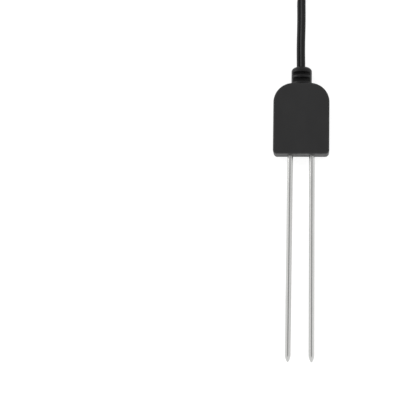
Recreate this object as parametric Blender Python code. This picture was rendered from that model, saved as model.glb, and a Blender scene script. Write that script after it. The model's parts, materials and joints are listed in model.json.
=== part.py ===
"""Two-rod soil moisture probe: moulded head, two steel electrodes, flat two-core lead and jack plug.

The probe lies on its back. +Y runs from the rod tips to the lead, +X is to its right and +Z comes
out of its front face. The origin is on the surface under the middle of the rigid probe, which is
everything but the lead. All lengths are in metres.
"""

import math

import bmesh
import bpy
from mathutils import Vector

MM = 0.001
GAP = 0.3 * MM  # left between pieces that touch

# Head: a deep shell closed from behind by a screwed cover.
HEAD_WIDTH = 28.0 * MM
HEAD_LENGTH = 36.0 * MM
HEAD_DEPTH = 11.5 * MM
HEAD_BOTTOM = 29.0 * MM  # the face that the rods come out of
TOP_CORNER = 9.8 * MM
BOTTOM_CORNER = 2.0 * MM
TOP_CORNER_STEPS = 12
BOTTOM_CORNER_STEPS = 5
LEAST_CORNER = 0.2 * MM  # radius of an inset corner that would vanish otherwise
EDGE_ROUND = 1.0 * MM
WALL = 2.4 * MM
FRONT_WALL = 2.0 * MM
COVER_THICKNESS = 1.6 * MM
AXIS_HEIGHT = HEAD_DEPTH / 2  # rods, collar and lead share this height

# Gasket between shell and cover, in a groove of the shell's rim.
GROOVE_INSET = 0.65 * MM
GROOVE_WIDTH = 1.1 * MM
GROOVE_DEPTH = 0.8 * MM
GASKET_WIDTH = 0.5 * MM

# Electrode rods.
ROD_RADIUS = 1.5 * MM
ROD_SPACING = 10.9 * MM
ROD_EXPOSED = 102.9 * MM
ROD_POINT = 3.5 * MM
POINT_END_RADIUS = 0.25 * MM
POINT_MIDDLE_RADIUS = 0.93 * MM
ROD_END_CHAMFER = 0.4 * MM
ROD_SPLAY = math.radians(0.21)  # each rod leans out a little towards its tip
SHOULDER_RADIUS = 2.3 * MM
SHOULDER_LENGTH = 1.0 * MM

# What sits on the rods inside the head.
SEAL_RING_RADIUS = 2.45 * MM
SEAL_THICKNESS = 1.1 * MM
SEAL_SECTION_SIDES = 10
WASHER_RADIUS = 2.9 * MM
WASHER_THICKNESS = 0.5 * MM
NUT_ACROSS = 5.5 * MM
NUT_LENGTH = 2.4 * MM
TAB_INSET = 3.35 * MM  # from the rod's axis to the terminal's upright tab
TAB_SIZE = (0.5 * MM, 4.2 * MM, 2.0 * MM)
FOOT_INSET = 3.0 * MM
FOOT_LENGTH = 1.2 * MM
CARRIER_WIDTH = 16.0 * MM
CARRIER_THICKNESS = 5.6 * MM

# Stations above the head's bottom face, along the rods.
SEAL_AT = 3.1 * MM
SHOULDER_AT = 4.0 * MM
CARRIER_AT = 5.3 * MM
CARRIER_LENGTH = 7.0 * MM
WASHER_AT = 12.6 * MM
TERMINAL_AT = 13.4 * MM
NUT_AT = 14.2 * MM
ROD_END_AT = 17.6 * MM

# Cover screws: one passes through the carrier, two hold the top. (x, distance above the bottom face)
SCREW_PLACES = ((0.0, 8.8 * MM), (-8.8 * MM, 24.5 * MM), (8.8 * MM, 24.5 * MM))
POST_RADIUS = 2.1 * MM
SCREW_RADIUS = 0.9 * MM
SCREW_HEAD_RADIUS = 1.9 * MM
SCREW_HEAD_ROUND = 0.35 * MM
SCREW_HEAD_LOW = 0.1 * MM
SCREW_HEAD_HEIGHT = 1.2 * MM
SCREW_LENGTH = 7.0 * MM
SCREW_POINT = 0.8 * MM
SCREW_POINT_RADIUS = 0.3 * MM
CROSS_LENGTH = 2.2 * MM
CROSS_WIDTH = 0.5 * MM
CROSS_DEPTH = 0.6 * MM
SEAT_TOP = 1.45 * MM
BOSS_TOP = 3.4 * MM
CUT_PAST = 1.0 * MM  # how far a cutter runs past the face that it opens

# Circuit board and what is soldered to it, facing the cover.
BOARD_WIDTH = 20.4 * MM
BOARD_BOTTOM = 19.2 * MM
BOARD_TOP = 28.6 * MM
BOARD_HEIGHT = 6.9 * MM
BOARD_THICKNESS = 1.0 * MM
RIB_WIDTH = 1.0 * MM
RIB_LENGTH = 8.0 * MM
RIB_X = 4.5 * MM
# (name, size, x, distance above the head's bottom face), in millimetres
COMPONENTS_MM = (
    ("sensor_chip", (3.9, 4.9, 1.5), 0.0, 23.4),
    ("resistor_1", (1.3, 2.0, 0.6), -4.1, 21.6),
    ("resistor_2", (1.3, 2.0, 0.6), 4.1, 21.6),
    ("capacitor", (1.3, 2.0, 1.1), -4.1, 25.0),
)

# Strain relief: flange inside the head, neck through its wall, collar outside.
FLANGE_RADIUS = 3.5 * MM
FLANGE_AT = 31.5 * MM
NECK_RADIUS = 2.6 * MM
COLLAR_RADIUS = 5.15 * MM
COLLAR_LENGTH = 8.9 * MM
COLLAR_DOME = 2.2 * MM
COLLAR_END_RADIUS = 2.6 * MM
DOME_STEPS = 6
SLOTS = ((2.1 * MM, 2.1 * MM), (5.2 * MM, 1.6 * MM))  # (middle above the head's top, width)
SLOT_FLOOR = 2.9 * MM  # from the collar's axis
SLOT_REACH = 9.6 * MM

# Lead: a flat cord of two cores side by side.
CORE_RADIUS = 1.35 * MM
CORD_WIDTH = 4 * CORE_RADIUS
LEAD_ROUTE_MM = (
    (-0.38, 74.2, 5.75), (-0.44, 77.5, 5.75), (-0.5, 81.0, 5.7), (-0.52, 85.0, 5.6),
    (-0.48, 89.0, 5.4), (-0.42, 93.0, 5.1), (-0.38, 97.0, 4.75), (-0.38, 101.0, 4.35),
    (-0.43, 105.0, 3.9), (-0.47, 109.0, 3.4), (-0.21, 112.5, 3.08), (0.3, 114.8, 2.93),
    (1.2, 117.4, 2.83),
)
TAIL_ROUTE_MM = ((16.05, 160.1, 5.6), (15.5, 162.0, 4.8), (15.07, 164.0, 4.35), (14.77, 166.0, 4.2))
ROUTE_STEP = 2.2 * CORD_WIDTH

# Hook-up wires and the lead's cores inside the head: (x, distance above its bottom face, height).
WIRE_RADIUS = 0.5 * MM
WIRE_STEP = 1.2 * MM
CORE_STEP = 1.5 * MM
TERMINAL_WIRE_MM = ((1.05, 15.6, 5.75), (1.05, 17.4, 5.75), (1.3, 19.0, 5.75), (2.6, 20.6, 5.9))
LEAD_CORE_MM = ((1.7, 31.2, 5.5), (1.8, 30.0, 5.3), (2.2, 28.4, 5.2), (2.9, 26.6, 5.2))

# Hank: loops wound on a waisted track, three side by side and two high.
HANK_CENTRE = (-4.9 * MM, 184.3 * MM)
HALF_RUN = 40.5 * MM  # from the waist to the middle of each end loop
FOLD_RADIUS = 16.2 * MM
WAIST_HALF_GAP = 1.4 * MM
TURN_PITCH = 2.75 * MM
TURNS_ABREAST = 3
HANK_HEIGHT = 11.1 * MM
HANK_MARGIN = 0.3 * MM
HANK_END_STEPS = 28
HANK_SIDE_STEPS = 12

# Tie round the hank's waist.
TIE_WIDTH = 3.6 * MM
TIE_THICKNESS = 0.45 * MM
TIE_INNER_HALF = 8.3 * MM
TIE_INNER_LOW = 0.5 * MM
TIE_INNER_HIGH = 11.5 * MM
TIE_CORNER = 0.8 * MM
TIE_CORNER_STEPS = 4
TIE_GROOVE_DEPTH = 6.0 * MM  # of the block that cuts the hank back from the tie
TWIST_WIDTH = 1.6 * MM
TWIST_LENGTH = 3.0 * MM
TWIST_X = 2.0 * MM  # from the hank's middle

# Jack plug: stations along its axis from the cord, which points mostly along +Y.
PLUG_START = (14.7 * MM, 166.5 * MM, 4.2 * MM)
PLUG_TURN = math.radians(8.0)
PLUG_RELIEF_LENGTH = 7.0 * MM
PLUG_RELIEF_RADII = (2.9 * MM, 3.5 * MM)
JACK_RADIUS = 1.75 * MM
SLEEVE_FLANGE = (2.9 * MM, 0.8 * MM)  # radius and length
SLEEVE_LENGTH = 8.2 * MM
INSULATOR_RADIUS = 1.7 * MM
INSULATOR_LENGTH = 0.9 * MM
# Outlines of the moulded body and the tip: (radius, distance from its own start), in millimetres
PLUG_BODY_PROFILE_MM = (
    (3.5, 0.0), (3.7, 0.7), (4.2, 2.1), (4.2, 12.6), (3.7, 13.7), (3.2, 14.0),
)
TIP_PROFILE_MM = (
    (1.75, 0.0), (1.75, 0.9), (1.25, 1.6), (1.6, 2.4), (1.55, 3.0), (0.9, 3.7), (0.35, 4.0),
)

ROUND_SIDES = 24
FINE_SIDES = 32
COARSE_SIDES = 16
ALONG_Y = (-math.pi / 2, 0.0, 0.0)  # turns an object's own Z axis to +Y


def clear_scene():
    for old in list(bpy.data.objects):
        bpy.data.objects.remove(old)


def above(distance):
    """The row's Y of a station this far above the head's bottom face."""
    return HEAD_BOTTOM + distance


def material(name, colour, roughness, metallic=0.0):
    made = bpy.data.materials.new(name)
    made.use_nodes = True
    shader = made.node_tree.nodes["Principled BSDF"]
    shader.inputs["Base Color"].default_value = (*colour, 1.0)
    shader.inputs["Roughness"].default_value = roughness
    shader.inputs["Metallic"].default_value = metallic
    return made


def steel(name):
    return material(name, (0.62, 0.62, 0.60), 0.25, 1.0)


def black_plastic(name):
    return material(name, (0.034, 0.034, 0.035), 0.5)


def black_rubber(name):
    return material(name, (0.014, 0.014, 0.016), 0.45)


def place(name, bm, finish, at=(0.0, 0.0, 0.0), turn=(0.0, 0.0, 0.0)):
    """Makes a mesh object out of a bmesh, with its faces pointing out, and sets it in place."""
    bmesh.ops.recalc_face_normals(bm, faces=bm.faces)
    mesh = bpy.data.meshes.new(name)
    bm.to_mesh(mesh)
    bm.free()
    mesh.shade_smooth()
    mesh.set_sharp_from_angle(angle=math.radians(35))
    mesh.materials.append(finish)
    made = bpy.data.objects.new(name, mesh)
    made.location = at
    made.rotation_euler = turn
    bpy.context.scene.collection.objects.link(made)
    return made


def skin(rings, joined=False):
    """A closed surface over rings of equal point counts: capped at both ends, or joined in a loop."""
    bm = bmesh.new()
    loops = [[bm.verts.new(point) for point in ring] for ring in rings]
    pairs = list(zip(loops, loops[1:]))
    if joined:
        pairs.append((loops[-1], loops[0]))
    else:
        bm.faces.new(loops[0])
        bm.faces.new(loops[-1])
    for one, two in pairs:
        for i in range(len(one)):
            j = (i + 1) % len(one)
            bm.faces.new((one[i], one[j], two[j], two[i]))
    return bm


def circle(radius, height, sides=ROUND_SIDES):
    """A ring of points round the local Z axis."""
    steps = [2 * math.pi * i / sides for i in range(sides)]
    return [(radius * math.cos(a), radius * math.sin(a), height) for a in steps]


def turned(profile, sides=ROUND_SIDES, joined=False):
    """A piece turned about local Z from (radius, height) points."""
    return skin([circle(radius, height, sides) for radius, height in profile], joined)


def box(size, at):
    """A plain block of this size, as a bmesh, centred at a point."""
    bm = bmesh.new()
    bmesh.ops.create_cube(bm, size=1.0)
    bmesh.ops.scale(bm, vec=size, verts=bm.verts)
    bmesh.ops.translate(bm, vec=at, verts=bm.verts)
    return bm


def arc(centre, radius, start, end, steps):
    """Points on an arc in the XY plane, both ends included, angles in degrees."""
    angles = [math.radians(start + (end - start) * i / steps) for i in range(steps + 1)]
    return [(centre[0] + radius * math.cos(a), centre[1] + radius * math.sin(a)) for a in angles]


def hide_cutter(cutter):
    cutter.hide_render = True
    cutter.display_type = "WIRE"


def combine(target, other, operation):
    """Adds or takes away another object with an exact Boolean."""
    hide_cutter(other)
    change = target.modifiers.new(other.name, "BOOLEAN")
    change.object = other
    change.operation = operation
    change.solver = "EXACT"


# Head ---------------------------------------------------------------------------------------------


def head_outline(inset, height):
    """The head's arched outline moved in by an inset, as a ring at a height."""
    points = []
    corners = (
        (1, 0, BOTTOM_CORNER, -90, BOTTOM_CORNER_STEPS),
        (1, 1, TOP_CORNER, 0, TOP_CORNER_STEPS),
        (-1, 1, TOP_CORNER, 90, TOP_CORNER_STEPS),
        (-1, 0, BOTTOM_CORNER, 180, BOTTOM_CORNER_STEPS),
    )
    for side, top, corner, start, steps in corners:
        radius = max(corner - inset, LEAST_CORNER)
        x = side * (HEAD_WIDTH / 2 - inset - radius)
        y = HEAD_LENGTH - inset - radius if top else inset + radius
        points += arc((x, above(y)), radius, start, start + 90, steps)
    return [(x, y, height) for x, y in points]


def rounded_edge(low, high, steps=4):
    """(inset, height) pairs up a wall and round its edge onto the flat face at the high end."""
    sign = 1 if high > low else -1
    pairs = [(0.0, low)]
    for i in range(steps + 1):
        angle = math.pi / 2 * i / steps
        inset = EDGE_ROUND * (1 - math.cos(angle))
        pairs.append((inset, high - sign * EDGE_ROUND * (1 - math.sin(angle))))
    return pairs


def upright_cylinder(name, radius, x, y, low, high, finish, sides=ROUND_SIDES):
    return place(name, turned([(radius, low), (radius, high)], sides), finish, at=(x, y, 0.0))


def along_cylinder(name, radius, x, start, end, finish, sides=ROUND_SIDES):
    """A cylinder lying along Y at the height of the rods."""
    bm = turned([(radius, start), (radius, end)], sides)
    return place(name, bm, finish, at=(x, 0.0, AXIS_HEIGHT), turn=ALONG_Y)


def make_shell(finish):
    """The deep front shell, with its screw posts, board ribs, rod holes, lead hole and groove."""
    low = COVER_THICKNESS + GAP
    ceiling = HEAD_DEPTH - FRONT_WALL
    rings = [head_outline(WALL, ceiling), head_outline(WALL, low)]
    rings += [head_outline(inset, height) for inset, height in rounded_edge(low, HEAD_DEPTH)]
    shell = place("head_shell", skin(rings), finish)
    for number, (x, y) in enumerate(SCREW_PLACES, 1):
        post_low = BOSS_TOP + GAP
        post = upright_cylinder(
            f"post_{number}", POST_RADIUS, x, above(y), post_low, ceiling + FRONT_WALL / 2, finish
        )
        combine(shell, post, "UNION")
        pilot_top = COVER_THICKNESS + SCREW_LENGTH + GAP
        pilot = upright_cylinder(
            f"pilot_{number}", SCREW_RADIUS + GAP, x, above(y), 0.0, pilot_top, finish, COARSE_SIDES
        )
        combine(shell, pilot, "DIFFERENCE")
    for side in (-1, 1):
        rib_low = BOARD_HEIGHT + BOARD_THICKNESS + GAP
        rib_height = ceiling + FRONT_WALL / 2 - rib_low
        rib_y = above((BOARD_BOTTOM + BOARD_TOP) / 2)
        at = (side * RIB_X, rib_y, rib_low + rib_height / 2)
        rib = box((RIB_WIDTH, RIB_LENGTH, rib_height), at)
        combine(shell, place(f"rib_{side}", rib, finish), "UNION")
        x = side * ROD_SPACING / 2
        start, end = above(-CUT_PAST), above(WALL + CUT_PAST)
        hole = along_cylinder(f"rod_hole_{side}", ROD_RADIUS + GAP, x, start, end, finish)
        combine(shell, hole, "DIFFERENCE")
    start, end = above(HEAD_LENGTH - WALL - CUT_PAST), above(HEAD_LENGTH + CUT_PAST)
    hole = along_cylinder("lead_hole", NECK_RADIUS + GAP, 0.0, start, end, finish)
    combine(shell, hole, "DIFFERENCE")
    groove = outline_band(GROOVE_INSET, GROOVE_WIDTH, low - CUT_PAST, low + GROOVE_DEPTH)
    combine(shell, place("groove", groove, finish), "DIFFERENCE")
    return shell


def outline_band(inset, width, low, high):
    """A closed band of the head's outline, between two insets and two heights."""
    outer, inner = inset, inset + width
    rings = [
        head_outline(outer, low),
        head_outline(outer, high),
        head_outline(inner, high),
        head_outline(inner, low),
    ]
    return skin(rings, joined=True)


def make_gasket(finish):
    inset = GROOVE_INSET + (GROOVE_WIDTH - GASKET_WIDTH) / 2
    low = COVER_THICKNESS + GAP
    bm = outline_band(inset, GASKET_WIDTH, low, low + GROOVE_DEPTH - GAP)
    return place("cover_gasket", bm, finish)


def make_cover(finish):
    """The back cover, with a raised boss and a sunk, drilled seat for each screw."""
    rings = [head_outline(inset, height) for inset, height in rounded_edge(COVER_THICKNESS, 0.0)]
    cover = place("back_cover", skin(rings), finish)
    sink_radius, drill_radius = SCREW_HEAD_RADIUS + GAP, SCREW_RADIUS + GAP
    for number, (x, y) in enumerate(SCREW_PLACES, 1):
        boss = upright_cylinder(
            f"boss_{number}", POST_RADIUS, x, above(y), COVER_THICKNESS / 2, BOSS_TOP, finish
        )
        combine(cover, boss, "UNION")
        sink = upright_cylinder(
            f"sink_{number}", sink_radius, x, above(y), -CUT_PAST, SEAT_TOP, finish
        )
        combine(cover, sink, "DIFFERENCE")
        top = BOSS_TOP + CUT_PAST
        drill = upright_cylinder(
            f"drill_{number}", drill_radius, x, above(y), -CUT_PAST, top, finish, COARSE_SIDES
        )
        combine(cover, drill, "DIFFERENCE")
    return cover


def make_screws(finish):
    """Pan-head cover screws with a cross slot in the head and a pointed end."""
    under = SCREW_HEAD_LOW + SCREW_HEAD_HEIGHT
    end = under + SCREW_LENGTH
    profile = [
        (SCREW_HEAD_RADIUS - SCREW_HEAD_ROUND, SCREW_HEAD_LOW),
        (SCREW_HEAD_RADIUS, SCREW_HEAD_LOW + SCREW_HEAD_ROUND),
        (SCREW_HEAD_RADIUS, under),
        (SCREW_RADIUS, under),
        (SCREW_RADIUS, end - SCREW_POINT),
        (SCREW_POINT_RADIUS, end),
    ]
    for number, (x, y) in enumerate(SCREW_PLACES, 1):
        at = (x, above(y), 0.0)
        screw = place(f"cover_screw_{number}", turned(profile, COARSE_SIDES), finish, at=at)
        for turn, size in enumerate(((CROSS_LENGTH, CROSS_WIDTH), (CROSS_WIDTH, CROSS_LENGTH))):
            slot = box((*size, 2 * CROSS_DEPTH), (x, above(y), SCREW_HEAD_LOW))
            combine(screw, place(f"slot_{number}_{turn}", slot, finish), "DIFFERENCE")


# Electrodes ---------------------------------------------------------------------------------------


def rod_object(name, bm, finish, side, station, leaning=False):
    """Puts a turned piece on a rod's axis, its own zero at a station above the bottom face."""
    turn = (-math.pi / 2, 0.0, side * ROD_SPLAY if leaning else 0.0)
    at = (side * ROD_SPACING / 2, above(station), AXIS_HEIGHT)
    return place(name, bm, finish, at=at, turn=turn)


def make_rod(name, side, finish):
    """A rod turned from one bar: blunt point, long shaft, shoulder and chamfered inner end."""
    shoulder_end = SHOULDER_AT + SHOULDER_LENGTH
    profile = [
        (POINT_END_RADIUS, -ROD_EXPOSED),
        (POINT_MIDDLE_RADIUS, -ROD_EXPOSED + ROD_POINT / 2),
        (ROD_RADIUS, -ROD_EXPOSED + ROD_POINT),
        (ROD_RADIUS, SHOULDER_AT),
        (SHOULDER_RADIUS, SHOULDER_AT),
        (SHOULDER_RADIUS, shoulder_end),
        (ROD_RADIUS, shoulder_end),
        (ROD_RADIUS, ROD_END_AT - ROD_END_CHAMFER),
        (ROD_RADIUS - ROD_END_CHAMFER, ROD_END_AT),
    ]
    return rod_object(name, turned(profile), finish, side, 0.0, leaning=True)


def make_seal(name, side, finish):
    """An O-ring between the bottom wall and the rod's shoulder."""
    section = circle(SEAL_THICKNESS / 2, 0.0, SEAL_SECTION_SIDES)
    profile = [(SEAL_RING_RADIUS + x, y) for x, y, _ in section]
    return rod_object(name, turned(profile, joined=True), finish, side, SEAL_AT)


def flat_ring():
    """The outline of a plain washer round a rod, to be turned."""
    inner, outer, thick = ROD_RADIUS + GAP, WASHER_RADIUS, WASHER_THICKNESS
    return [(inner, 0.0), (outer, 0.0), (outer, thick), (inner, thick)]


def make_washer(name, side, finish):
    return rod_object(name, turned(flat_ring(), joined=True), finish, side, WASHER_AT)


def make_nut(name, side, finish):
    """A hexagon nut with a plain hole."""
    sides = ROUND_SIDES

    def hex_radius(i):
        """Distance from the axis to the hexagon's edge, with a flat facing local X."""
        angle = (2 * math.pi * i / sides + math.pi / 6) % (math.pi / 3) - math.pi / 6
        return NUT_ACROSS / 2 / math.cos(angle)

    def ring(height):
        steps = [(hex_radius(i), 2 * math.pi * i / sides) for i in range(sides)]
        return [(r * math.cos(a), r * math.sin(a), height) for r, a in steps]

    hole = ROD_RADIUS + GAP
    rings = [circle(hole, 0.0), ring(0.0), ring(NUT_LENGTH), circle(hole, NUT_LENGTH)]
    return rod_object(name, skin(rings, joined=True), finish, side, NUT_AT)


def make_terminal(name, side, finish):
    """A ring terminal under the nut, with a tab bent up beside it towards the board."""
    terminal = rod_object(name, turned(flat_ring(), joined=True), finish, side, TERMINAL_AT)
    _, tab_length, tab_width = TAB_SIZE
    foot_size = (FOOT_LENGTH, WASHER_THICKNESS, tab_width)
    foot_x = side * (ROD_SPACING / 2 - FOOT_INSET)
    tab_x = side * (ROD_SPACING / 2 - TAB_INSET)
    foot = box(foot_size, (foot_x, above(TERMINAL_AT + WASHER_THICKNESS / 2), AXIS_HEIGHT))
    tab = box(TAB_SIZE, (tab_x, above(TERMINAL_AT + tab_length / 2), AXIS_HEIGHT))
    combine(terminal, place(f"{name}_foot", foot, finish), "UNION")
    combine(terminal, place(f"{name}_tab", tab, finish), "UNION")
    return terminal


def make_carrier(finish):
    """The insulating block that holds both rods and hangs on the lower cover screw's post."""
    size = (CARRIER_WIDTH, CARRIER_LENGTH, CARRIER_THICKNESS)
    middle = above(CARRIER_AT + CARRIER_LENGTH / 2)
    carrier = place("electrode_carrier", box(size, (0.0, middle, AXIS_HEIGHT)), finish)
    for side in (-1, 1):
        x = side * ROD_SPACING / 2
        start, end = above(CARRIER_AT - CUT_PAST), above(CARRIER_AT + CARRIER_LENGTH + CUT_PAST)
        hole = along_cylinder(f"carrier_hole_{side}", ROD_RADIUS + GAP, x, start, end, finish)
        combine(carrier, hole, "DIFFERENCE")
    x, y = SCREW_PLACES[0]
    eye = upright_cylinder("carrier_eye", POST_RADIUS + GAP, x, above(y), 0.0, HEAD_DEPTH, finish)
    combine(carrier, eye, "DIFFERENCE")
    return carrier


def make_electrodes(rod_finish, rubber, brass):
    for word, side in (("left", -1), ("right", 1)):
        make_rod(f"{word}_electrode", side, rod_finish)
        make_seal(f"{word}_rod_seal", side, rubber)
        make_washer(f"{word}_washer", side, rod_finish)
        make_terminal(f"{word}_terminal", side, brass)
        make_nut(f"{word}_nut", side, brass)


# Circuit board ------------------------------------------------------------------------------------


def make_board(finish):
    """The board, notched round the two upper screw posts."""
    length = BOARD_TOP - BOARD_BOTTOM
    middle = (0.0, above(BOARD_BOTTOM + length / 2), BOARD_HEIGHT + BOARD_THICKNESS / 2)
    board = place("circuit_board", box((BOARD_WIDTH, length, BOARD_THICKNESS), middle), finish)
    for number, (x, y) in enumerate(SCREW_PLACES[1:], 2):
        notch = upright_cylinder(
            f"notch_{number}", POST_RADIUS + GAP, x, above(y), 0.0, HEAD_DEPTH, finish
        )
        combine(board, notch, "DIFFERENCE")
    return board


def make_components(chip_finish, ceramic):
    """A chip, two resistors and a capacitor on the board's face towards the cover."""
    for name, size_mm, x_mm, station_mm in COMPONENTS_MM:
        finish = chip_finish if name == "sensor_chip" else ceramic
        size = [side * MM for side in size_mm]
        z = BOARD_HEIGHT - GAP - size[2] / 2
        place(name, box(size, (x_mm * MM, above(station_mm * MM), z)), finish)


# Wires and cords ----------------------------------------------------------------------------------


def smooth(points, step, cuts=20):
    """Points a step apart on the centripetal Catmull-Rom curve through the given ones."""
    knots = [Vector(p) for p in points]
    knots = [2 * knots[0] - knots[1], *knots, 2 * knots[-1] - knots[-2]]
    fine = []
    for a, b, c, d in zip(knots, knots[1:], knots[2:], knots[3:]):
        t1 = (b - a).length ** 0.5
        t2 = t1 + (c - b).length ** 0.5
        t3 = t2 + (d - c).length ** 0.5
        for i in range(cuts):
            t = t1 + (t2 - t1) * i / cuts
            ab = a * (t1 - t) / t1 + b * t / t1
            bc = b * (t2 - t) / (t2 - t1) + c * (t - t1) / (t2 - t1)
            cd = c * (t3 - t) / (t3 - t2) + d * (t - t2) / (t3 - t2)
            abc = ab * (t2 - t) / t2 + bc * t / t2
            bcd = bc * (t3 - t) / (t3 - t1) + cd * (t - t1) / (t3 - t1)
            fine.append(abc * (t2 - t) / (t2 - t1) + bcd * (t - t1) / (t2 - t1))
    fine.append(knots[-2])
    lengths = [0.0]
    for a, b in zip(fine, fine[1:]):
        lengths.append(lengths[-1] + (b - a).length)
    count = max(2, round(lengths[-1] / step))
    out, at = [], 0
    for i in range(count + 1):
        target = lengths[-1] * i / count
        while at < len(fine) - 2 and lengths[at + 1] < target:
            at += 1
        share = (target - lengths[at]) / (lengths[at + 1] - lengths[at])
        out.append(fine[at].lerp(fine[at + 1], share))
    return out


def tube(name, points, radius, finish, resolution=2):
    """A round cord along a poly line, with closed ends."""
    curve = bpy.data.curves.new(name, "CURVE")
    curve.dimensions = "3D"
    curve.bevel_depth = radius
    curve.bevel_resolution = resolution
    curve.use_fill_caps = True
    curve.render_resolution_u = 0
    line = curve.splines.new("POLY")
    line.points.add(len(points) - 1)
    for slot, point in zip(line.points, points):
        slot.co = (*point, 1.0)
    curve.materials.append(finish)
    made = bpy.data.objects.new(name, curve)
    bpy.context.scene.collection.objects.link(made)
    return made


def make_inner_wires(rubber):
    """Hook-up wires from the terminals' tabs, and the lead's two cores, to the board."""
    wires = (
        ("terminal_wire", TERMINAL_WIRE_MM, WIRE_RADIUS, WIRE_STEP),
        ("lead_core", LEAD_CORE_MM, CORE_RADIUS, CORE_STEP),
    )
    for word, side in (("left", -1), ("right", 1)):
        for kind, route, radius, step in wires:
            points = [(side * x * MM, above(y * MM), z * MM) for x, y, z in route]
            tube(f"{word}_{kind}", smooth(points, step), radius, rubber)


def make_strain_relief(finish):
    """Flange inside, neck through the wall, and a round collar with two slots front and back."""
    neck = HEAD_LENGTH - WALL - GAP
    base, top = HEAD_LENGTH + GAP, HEAD_LENGTH + COLLAR_LENGTH
    profile = [
        (FLANGE_RADIUS, FLANGE_AT),
        (FLANGE_RADIUS, neck),
        (NECK_RADIUS, neck),
        (NECK_RADIUS, base),
        (COLLAR_RADIUS, base),
    ]
    for i in range(DOME_STEPS + 1):
        angle = math.pi / 2 * i / DOME_STEPS
        shrink = (COLLAR_RADIUS - COLLAR_END_RADIUS) * (1 - math.cos(angle))
        profile.append((COLLAR_RADIUS - shrink, top - COLLAR_DOME * (1 - math.sin(angle))))
    at = (0.0, HEAD_BOTTOM, AXIS_HEIGHT)
    relief = place("strain_relief", turned(profile, FINE_SIDES), finish, at=at, turn=ALONG_Y)
    deep = COLLAR_RADIUS - SLOT_FLOOR + CUT_PAST
    for number, (station, width) in enumerate(SLOTS, 1):
        for side in (-1, 1):
            at = (0.0, above(HEAD_LENGTH + station), AXIS_HEIGHT + side * (SLOT_FLOOR + deep / 2))
            slot = box((SLOT_REACH, width, deep), at)
            combine(relief, place(f"relief_slot_{number}_{side}", slot, finish), "DIFFERENCE")
    return relief


def make_lead(rubber):
    """The two stretches of the lead that aren't wound: head to hank, and hank to plug."""
    for name, route in (("lead_cable", LEAD_ROUTE_MM), ("lead_tail", TAIL_ROUTE_MM)):
        points = [(x * MM, y * MM, z * MM) for x, y, z in route]
        step = ROUTE_STEP if name == "lead_cable" else ROUTE_STEP / 2
        tube(name, smooth(points, step), CORD_WIDTH / 2, rubber)


# Hank ---------------------------------------------------------------------------------------------


def hank_outline(offset):
    """The waisted track's outline, moved out by an offset: two end arcs and two hollow sides."""
    waist_radius = (HALF_RUN**2 / (FOLD_RADIUS - WAIST_HALF_GAP) - FOLD_RADIUS - WAIST_HALF_GAP) / 2
    side_x = WAIST_HALF_GAP + waist_radius
    lean = math.degrees(math.atan2(HALF_RUN, side_x))
    x, y = HANK_CENTRE
    end, hollow = FOLD_RADIUS + offset, waist_radius - offset
    points = arc((x, y + HALF_RUN), end, -lean, 180 + lean, HANK_END_STEPS)
    points += arc((x - side_x, y), hollow, lean, -lean, HANK_SIDE_STEPS)[1:-1]
    points += arc((x, y - HALF_RUN), end, 180 - lean, 360 + lean, HANK_END_STEPS)
    points += arc((x + side_x, y), hollow, 180 + lean, 180 - lean, HANK_SIDE_STEPS)[1:-1]
    return points


def make_hank(rubber):
    """One closed solid with the wound lead's outer shape, grooved round the waist for its tie."""
    outline = hank_outline((TURNS_ABREAST - 1) * TURN_PITCH + CORE_RADIUS + HANK_MARGIN)
    rings = [[(x, y, height) for x, y in outline] for height in (0.0, HANK_HEIGHT)]
    hank = place("lead_hank", skin(rings), rubber)
    groove = TIE_WIDTH / 2 + GAP
    x, y = HANK_CENTRE
    keep_half, keep_low = TIE_INNER_HALF - GAP, TIE_INNER_LOW + GAP
    for side in (-1, 1):
        at = (x + side * (keep_half + TIE_GROOVE_DEPTH / 2), y, HANK_HEIGHT / 2)
        block = box((TIE_GROOVE_DEPTH, 2 * groove, 2 * HANK_HEIGHT), at)
        combine(hank, place(f"tie_groove_{side}", block, rubber), "DIFFERENCE")
    across = 2 * (keep_half + TIE_GROOVE_DEPTH)
    at = (x, y, keep_low - TIE_GROOVE_DEPTH / 2)
    block = box((across, 2 * groove, TIE_GROOVE_DEPTH), at)
    combine(hank, place("tie_groove_under", block, rubber), "DIFFERENCE")
    return hank


def tie_section(half, low, high, corner, y):
    """A rounded rectangle round the hank's waist, in the XZ plane."""
    x, _ = HANK_CENTRE
    points = []
    for side, level, start in ((1, high, 0), (-1, high, 90), (-1, low, 180), (1, low, 270)):
        cx = x + side * (half - corner)
        cz = level - corner if level == high else level + corner
        points += [(px, y, pz) for px, pz in arc((cx, cz), corner, start, start + 90, TIE_CORNER_STEPS)]
    return points


def make_tie(finish):
    """The band round the waist, with the twisted ends standing out of its top."""
    x, y = HANK_CENTRE
    near, far = y - TIE_WIDTH / 2, y + TIE_WIDTH / 2
    t = TIE_THICKNESS
    inner = (TIE_INNER_HALF, TIE_INNER_LOW, TIE_INNER_HIGH, TIE_CORNER)
    outer = (TIE_INNER_HALF + t, TIE_INNER_LOW - t, TIE_INNER_HIGH + t, TIE_CORNER + t)
    rings = [
        tie_section(*inner, near), tie_section(*outer, near),
        tie_section(*outer, far), tie_section(*inner, far),
    ]
    tie = place("hank_tie", skin(rings, joined=True), finish)
    twist_z = TIE_INNER_HIGH + t / 2 + TWIST_LENGTH / 2
    twist = box((TWIST_WIDTH, TWIST_WIDTH, TWIST_LENGTH), (x + TWIST_X, y, twist_z))
    combine(tie, place("tie_twist", twist, finish), "UNION")
    return tie


# Plug ---------------------------------------------------------------------------------------------


def moved_outline(outline_mm, start):
    """An outline in millimetres, moved along its axis to a start, in metres."""
    return [(radius * MM, start + station * MM) for radius, station in outline_mm]


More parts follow.
